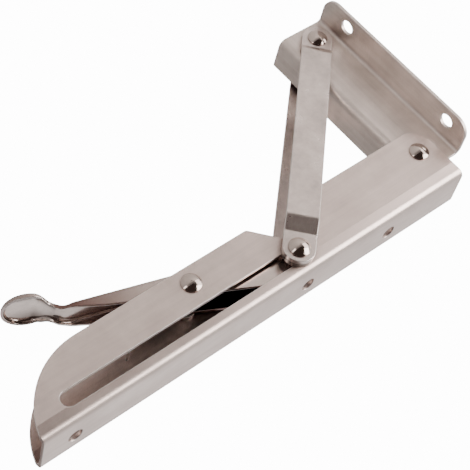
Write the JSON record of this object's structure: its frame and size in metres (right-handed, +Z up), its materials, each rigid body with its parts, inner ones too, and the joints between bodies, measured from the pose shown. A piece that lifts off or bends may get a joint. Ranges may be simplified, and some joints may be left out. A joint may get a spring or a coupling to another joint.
{
  "type": "folding shelf bracket",
  "caption": "Stainless folding shelf bracket: a slotted channel arm on a wall bracket, propped by two struts and freed by a spoon-ended release lever.",
  "frame": {"origin": "centre of the four wall bolt holes, on the wall plane", "axes": "+X out from the wall along the open arm, +Y along the wall to the right of a person who faces it, +Z up; the arm is open and locked"},
  "size_m": [0.3118, 0.0678, 0.1359],
  "materials": {
    "bracket_sheet": "brushed",
    "arm_sheet": "brushed",
    "strut_sheet": "brushed",
    "lever_sheet": "satin",
    "rivets": "polished",
    "bushes": "turned",
    "spring_wire": "drawn wire"
  },
  "bodies": {
    "mounting": {"wall_bracket": "bracket_sheet"},
    "arm": {"arm_channel": "arm_sheet", "left_arm_rivet": "rivets", "right_arm_rivet": "rivets", "lever_pin": "rivets", "left_lever_spacer": "bushes", "right_lever_spacer": "bushes", "lever_spring": "spring_wire"},
    "struts": {"left_strut": "strut_sheet", "right_strut": "strut_sheet", "left_strut_rivet": "rivets", "right_strut_rivet": "rivets", "left_slide_pin_head": "rivets", "right_slide_pin_head": "rivets"},
    "slider": {"left_slide_pin": "rivets", "right_slide_pin": "rivets", "left_slide_bush": "bushes", "right_slide_bush": "bushes"},
    "lever": {"release_lever": "lever_sheet"}
  },
  "joints": [
    {"name": "arm_fold", "type": "hinge", "parent": "mounting", "child": "arm", "pos_m": [0.024, 0, 0.0462], "axis": [0, 1, 0], "range_deg": [0, 90]},
    {"name": "strut_swing", "type": "hinge", "parent": "mounting", "child": "struts", "pos_m": [0.0155, 0, -0.0517], "axis": [0, 1, 0], "range_deg": [0, 125.7]},
    {"name": "slider_travel", "type": "slide", "parent": "arm", "child": "slider", "axis": [1, 0, 0], "range_m": [0, 0.1491]},
    {"name": "lever_release", "type": "hinge", "parent": "arm", "child": "lever", "pos_m": [0.194, 0, 0.04145], "axis": [0, -1, 0], "range_deg": [0, 15], "stiffness_Nm_per_rad": 0.25, "springref_deg": -34.38, "deforming": ["lever_spring"]}
  ],
  "couplings": [
    {"joint": "strut_swing", "follows": "arm_fold", "ratio": 1.3954},
    {"joint": "slider_travel", "follows": "arm_fold", "m_per_rad": 0.094829}
  ]
}
